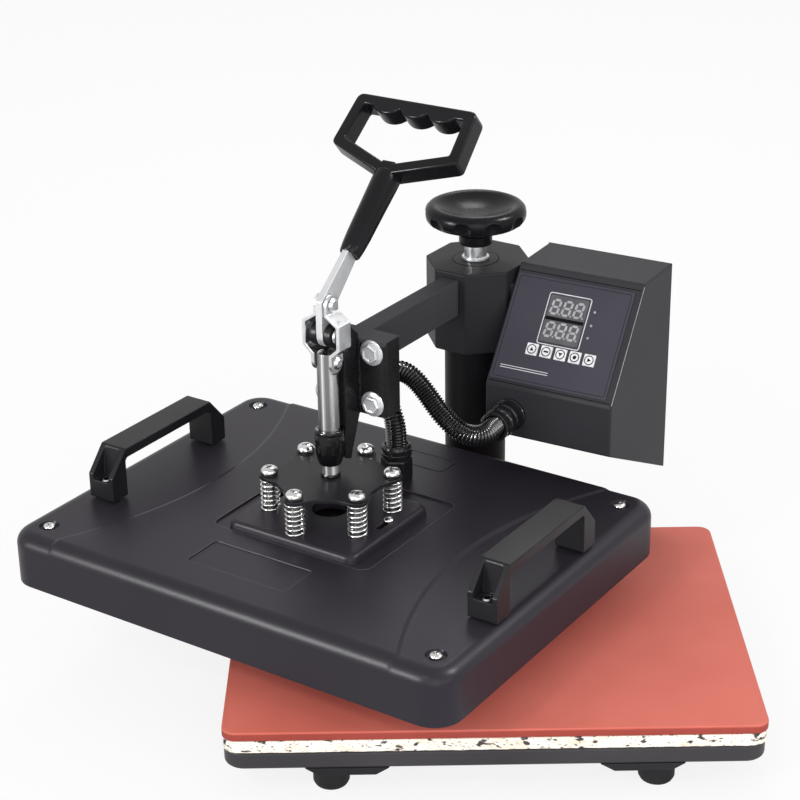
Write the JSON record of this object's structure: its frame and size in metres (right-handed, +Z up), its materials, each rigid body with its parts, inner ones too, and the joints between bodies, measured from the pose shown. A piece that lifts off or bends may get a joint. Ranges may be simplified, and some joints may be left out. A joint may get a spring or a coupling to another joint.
{
  "type": "heat press",
  "caption": "Swing-away heat press: black platen on springs under a toggle lever, turning head on a post with a sloped control box, red silicone bed",
  "frame": {"origin": "on the floor under the middle of the whole machine as it stands in the picture", "axes": "+X to the operator's right, +Y away from the operator, +Z up; the operator stands at -Y"},
  "size_m": [0.5418, 0.458, 0.4212],
  "materials": {
    "black_paint": "satin black powder coat",
    "zinc": "zinc plated",
    "rod_chrome": "polished",
    "foot_rubber": "matt black",
    "silicone": "matt red",
    "foam": "cream foam with dark specks",
    "bronze": "oiled",
    "hot_metal": "non-stick coated face",
    "element": "heat stained",
    "wool": "mineral wool",
    "bakelite": "semi-gloss black",
    "moulded": "moulded black",
    "overlay": "printed film",
    "window": "frosted dark",
    "board": "green",
    "key_white": "white",
    "rocker_red": "red"
  },
  "bodies": {
    "base": {"left_runner": "black_paint", "right_runner": "black_paint", "rear_plate": "black_paint", "rubber_feet": "foot_rubber", "foot_screws": "zinc", "lower_platen": "black_paint", "bed_bolts": "zinc", "foam_board": "foam", "silicone_sheet": "silicone", "post": "black_paint", "frame_bolts": "zinc", "post_nut": "bronze"},
    "carrier": {"thrust_bearing": "zinc"},
    "knob": {"pressure_knob": "bakelite", "pressure_screw": "zinc"},
    "head": {"head_block": "black_paint", "sleeve_bushes": "bronze", "swing_arm": "black_paint", "arm_bracket": "black_paint", "bracket_bolts": "zinc", "guide_bush": "black_paint", "pivot_pin": "zinc", "box_shell": "black_paint", "box_cover": "black_paint", "panel_overlay": "overlay", "display_window": "window", "circuit_board": "board", "box_gland": "moulded", "mains_gland": "moulded", "switch_housing": "moulded", "fuse_holder": "moulded", "box_screws": "zinc", "hose": "moulded"},
    "up_key": {"key_up": "key_white"},
    "set_key": {"key_set": "key_white"},
    "down_key": {"key_down": "key_white"},
    "mode_key": {"key_mode": "key_white"},
    "start_key": {"key_start": "key_white"},
    "rocker": {"switch_rocker": "rocker_red"},
    "lever": {"lever_bar": "zinc", "handle_grip": "bakelite", "link_pin": "zinc"},
    "links": {"left_link": "zinc", "right_link": "zinc", "link_studs": "zinc"},
    "plunger": {"plunger_rod": "rod_chrome", "plunger_pin": "zinc", "spring_plate": "black_paint", "springs": "zinc"},
    "platen": {"platen_cover": "black_paint", "heat_plate": "hot_metal", "heating_element": "element", "insulation": "wool", "left_handle": "moulded", "right_handle": "moulded", "handle_screws": "zinc", "cover_screws": "zinc", "spring_screws": "zinc", "platen_gland": "moulded"}
  },
  "joints": [
    {"name": "pressure_lift", "type": "slide", "parent": "base", "child": "carrier", "axis": [0, 0, 1], "range_m": [0, 0.012]},
    {"name": "knob_turn", "type": "hinge", "parent": "carrier", "child": "knob", "pos_m": [0.081, 0.1655, 0.272], "axis": [0, 0, 1], "range_deg": [0, 1728]},
    {"name": "head_swing", "type": "hinge", "parent": "carrier", "child": "head", "pos_m": [0.081, 0.1655, 0.272], "axis": [0, 0, 1], "continuous": true},
    {"name": "press", "type": "slide", "parent": "head", "child": "plunger", "axis": [0, 0, -1], "range_m": [0, 0.0317], "deforming": ["hose"]},
    {"name": "lever_turn", "type": "hinge", "parent": "head", "child": "lever", "pos_m": [-0.03393, -0.00425, 0.278], "axis": [0.8281, -0.5606, 0], "range_deg": [0, 123.06]},
    {"name": "link_turn", "type": "hinge", "parent": "lever", "child": "links", "pos_m": [-0.03393, -0.00425, 0.3015], "axis": [0.8281, -0.5606, 0], "range_deg": [-96.77, 0]},
    {"name": "platen_float", "type": "slide", "parent": "plunger", "child": "platen", "axis": [0, 0, 1], "range_m": [0, 0.005], "stiffness_N_per_m": 24000, "springref_m": -0.01, "deforming": ["springs"]},
    {"name": "key_up_press", "type": "slide", "parent": "head", "child": "up_key", "axis": [0.4054, 0.6993, -0.5888], "range_m": [0, 0.0008], "stiffness_N_per_m": 400, "springref_m": -0.0005},
    {"name": "key_set_press", "type": "slide", "parent": "head", "child": "set_key", "axis": [0.4054, 0.6993, -0.5888], "range_m": [0, 0.0008], "stiffness_N_per_m": 400, "springref_m": -0.0005},
    {"name": "key_down_press", "type": "slide", "parent": "head", "child": "down_key", "axis": [0.4054, 0.6993, -0.5888], "range_m": [0, 0.0008], "stiffness_N_per_m": 400, "springref_m": -0.0005},
    {"name": "key_mode_press", "type": "slide", "parent": "head", "child": "mode_key", "axis": [0.4054, 0.6993, -0.5888], "range_m": [0, 0.0008], "stiffness_N_per_m": 400, "springref_m": -0.0005},
    {"name": "key_start_press", "type": "slide", "parent": "head", "child": "start_key", "axis": [0.4054, 0.6993, -0.5888], "range_m": [0, 0.0008], "stiffness_N_per_m": 400, "springref_m": -0.0005},
    {"name": "rocker_tilt", "type": "hinge", "parent": "head", "child": "rocker", "pos_m": [0.16607, 0.17167, 0.169], "axis": [0.8652, -0.5015, 0], "range_deg": [-18, 0]}
  ],
  "couplings": [
    {"joint": "knob_turn", "follows": "pressure_lift", "rad_per_m": 2513.3},
    {"joint": "lever_turn", "follows": "press", "rad_per_m": 67.725},
    {"joint": "link_turn", "follows": "press", "rad_per_m": -53.252}
  ]
}
